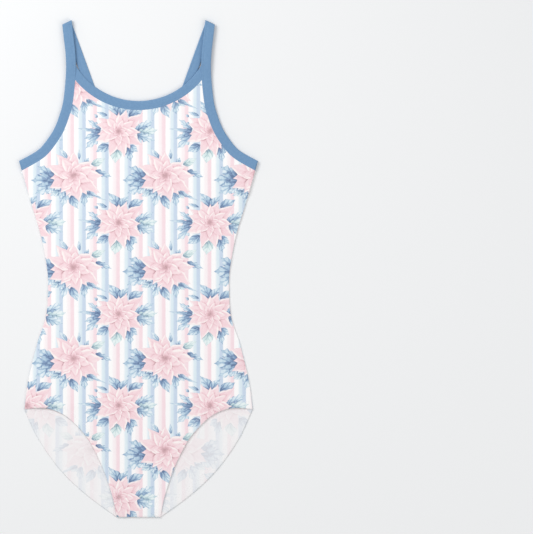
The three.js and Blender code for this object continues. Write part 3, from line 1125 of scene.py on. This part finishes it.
def strap_lines():
    foot, top = as_points(BACK_STRAP)
    ahead = (top - foot) / np.linalg.norm(top - foot)
    aside = np.array([ahead[1], -ahead[0]])
    lines = []
    for distance, radius in ((-ARM_BAND / 2, NECK_RADIUS - NECK_BAND), (ARM_BAND / 2, NECK_RADIUS)):
        start = foot + aside * distance
        out = start - NECK_CENTRE
        half = out @ ahead
        walk = -half - math.sqrt(half**2 - out @ out + radius**2)
        meets = start + ahead * walk
        end = start + ahead * (LENGTH - NECK_HEIGHT)
        whole = respaced(np.array([meets - ahead * TUCK, end]), BAND_STEP)
        lines.append((meets, cut(whole, below_shoulder)))
    return lines


strap_inner, strap_outer = strap_lines()
strap_side = below_neck_centre(arm_edge(ARM_BAND / 2 + GAP))


def front_neck_angle(radius):
    return neck_angle(cut(strap_side, outside_neck(radius))[-1])


front_seam, front_free, front_count = neck_lines(
    front_neck_angle(NECK_RADIUS), front_neck_angle(NECK_RADIUS - NECK_BAND), TUCK
)
back_seam, back_free, back_count = neck_lines(
    neck_angle(strap_outer[0]), neck_angle(strap_inner[0]), 0.0
)


def level(z):
    return lambda height: np.full(np.shape(height), z, dtype=float)


def neck_band(name, seam, free, count, z, seed):
    # Turned round, so that the seam is on the left of the way it runs.
    return band(name, seam[::-1], free[::-1], level(z), count, seed)


pieces = {}
pieces["front_neck_band"] = neck_band(
    "front_neck_band", front_seam, front_free, front_count, UPPER - STEP_AT_JOIN, FRONT_NECK_SEED
)
pieces["back_neck_band"] = neck_band(
    "back_neck_band", back_seam, back_free, back_count, 0.0, BACK_NECK_SEED
)
for side, flip in (("left", 1), ("right", -1)):
    for where, base, seed in (
        ("front", front_arm_base, FRONT_ARM_SEED),
        ("back", back_arm_base, BACK_ARM_SEED),
    ):
        name = f"{where}_armhole_band_{side}"
        pieces[name] = band(name, arm_left * (flip, 1), arm_right * (flip, 1), base, arm_count, seed)
    name = f"back_strap_{side}"
    inner, outer = strap_inner[1] * (flip, 1), strap_outer[1] * (flip, 1)
    pieces[name] = band(name, inner, outer, level(STEP_AT_JOIN), STRAP_PIECES, STRAP_SEED)
pieces["front_panel"] = panel("front_panel_cloth", FRONT_LEG, front_middle, True, FRONT_PRINT)
pieces["back_panel"] = panel("back_panel_cloth", BACK_LEG, back_middle, False, BACK_PRINT)


def outward(piece):
    """Turns every face outwards."""
    edit = bmesh.new()
    edit.from_mesh(piece.data)
    bmesh.ops.recalc_face_normals(edit, faces=edit.faces)
    edit.to_mesh(piece.data)
    edit.free()


def over(z_of):
    return lambda p: z_of(np.array([p[1]]))[0] + BAND_WALL * STITCH_UP + CLEAR


def under(z_of):
    return lambda p: z_of(np.array([p[1]]))[0] + STITCH[2]


def band_rows(left, right, z_of):
    """Stitches on both sides of a binding."""
    line = stitch_line(left, right)
    return [stitch_row(line, over(z_of), *STITCH), stitch_row(line, under(z_of), *STITCH)]


front_rows = band_rows(front_seam, front_free, level(UPPER - STEP_AT_JOIN))
back_rows = band_rows(back_seam, back_free, level(0.0))
shoulder_top = 2 * UPPER + BAND_WALL + SHOULDER_ROW_LIFT
for flip in (1, -1):
    front_rows += band_rows(arm_left * (flip, 1), arm_right * (flip, 1), front_arm_base)
    back_rows += band_rows(arm_left * (flip, 1), arm_right * (flip, 1), back_arm_base)
    back_rows += band_rows(strap_inner[1] * (flip, 1), strap_outer[1] * (flip, 1), level(STEP_AT_JOIN))
    ends = np.array([arm_left[-1], arm_right[-1]])
    across = respaced(ends + SHOULDER_ROW * np.array(SHOULDER_ROW_SLOPE), count=SHOULDER_ROW_PIECES)
    front_rows.append(stitch_row(across[1:-1] * (flip, 1), lambda p: shoulder_top, *STITCH))
front_stitches = stitches("front_binding_stitches", front_rows, blue_thread)
back_stitches = stitches("back_binding_stitches", back_rows, blue_thread)


def hem_rows(where, middle):
    """Two rows of stitches round each leg, on both sides of the cloth."""

    def face(side):
        return lambda p: middle(np.array([p]))[0] + side * (PANEL_CLOTH / 2 + CLEAR)

    rows = []
    for row in HEM_ROWS:
        line = cut(offset(leg_edges[where], HEM - row), lambda p: HEM_ROWS_END - p[:, 0])
        line = line[line[:, 1] > HEM_ROWS_START]
        for flip in (1, -1):
            rows += [stitch_row(line * (flip, 1), face(side), *HEM_STITCH) for side in (1, -1)]
    return rows


front_hem = stitches("front_hem_stitches", hem_rows("front", front_middle), white_thread)
back_hem = stitches("back_hem_stitches", hem_rows("back", back_middle), white_thread)

for name, piece in pieces.items():
    outward(piece)
    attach(piece, "root")
    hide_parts(name)
for piece, slot in (
    (front_stitches, "binding_knit"),
    (back_stitches, "binding_knit"),
    (front_hem, "printed_knit"),
    (back_hem, "printed_knit"),
):
    outward(piece)
    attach(piece, "root")


def flat_size(leg_rows):
    """A panel's width, length and area laid flat, in metres."""
    edge = outline(leg_rows) / 1000
    width, length = np.ptp(edge, axis=0)
    x, y = edge.T
    area = abs(np.sum(x * np.roll(y, -1) - y * np.roll(x, -1))) / 2
    return (round(float(width), 4), round(float(length), 4)), float(area)


front_flat, front_area = flat_size(FRONT_LEG)
back_flat, back_area = flat_size(BACK_LEG)


# The stage, in metres.
FLOOR_SIZE = 6.0
FLOOR_DROP = 0.0002
SKY_STRENGTH = 0.55
LIGHTS = [  # name, place, size, watts
    ("key", (-0.9, 0.9, 1.3), 0.9, 16.0),
    ("fill", (1.2, -0.6, 1.5), 1.4, 8.0),
]
MM_PER_PIXEL = 1.2
FRAME_HEIGHT_PIXELS = 534
CAMERA_PLACE = (0.1536, 0.002, 2.0)  # the garment fills the left half, as in the photograph

floor_material, floor_tree, floor_base = shader("floor", roughness=0.9, sheen=0.0)
floor_base.inputs["Base Color"].default_value = linear(*FLOOR_COLOUR)
floor_base.inputs["Specular IOR Level"].default_value = 0.0
bpy.ops.mesh.primitive_plane_add(size=FLOOR_SIZE, location=(0, 0, -FLOOR_DROP))
floor = bpy.context.object
floor.name = "floor"
floor.data.materials.append(floor_material)

scene = bpy.context.scene
scene.view_settings.view_transform = "Standard"
scene.world = bpy.data.worlds.new("studio")
scene.world.use_nodes = True
sky = scene.world.node_tree.nodes["Background"]
sky.inputs["Color"].default_value = (1.0, 1.0, 1.0, 1.0)
sky.inputs["Strength"].default_value = SKY_STRENGTH


def soft_light(name, place, size, power):
    data = bpy.data.lights.new(name, "AREA")
    data.size = size
    data.energy = power
    lamp = bpy.data.objects.new(name, data)
    lamp.location = place
    aim = bpy.data.objects.new(name + "_aim", None)
    bpy.context.scene.collection.objects.link(lamp)
    bpy.context.scene.collection.objects.link(aim)
    track = lamp.constraints.new("TRACK_TO")
    track.target = aim
    track.track_axis = "TRACK_NEGATIVE_Z"
    track.up_axis = "UP_Y"


for light in LIGHTS:
    soft_light(*light)

# Straight down on it, at the photograph's scale.
camera_data = bpy.data.cameras.new("camera")
camera_data.type = "ORTHO"
camera_data.ortho_scale = FRAME_HEIGHT_PIXELS * MM_PER_PIXEL / 1000
camera = bpy.data.objects.new("camera", camera_data)
camera.location = CAMERA_PLACE
scene.collection.objects.link(camera)
scene.camera = camera
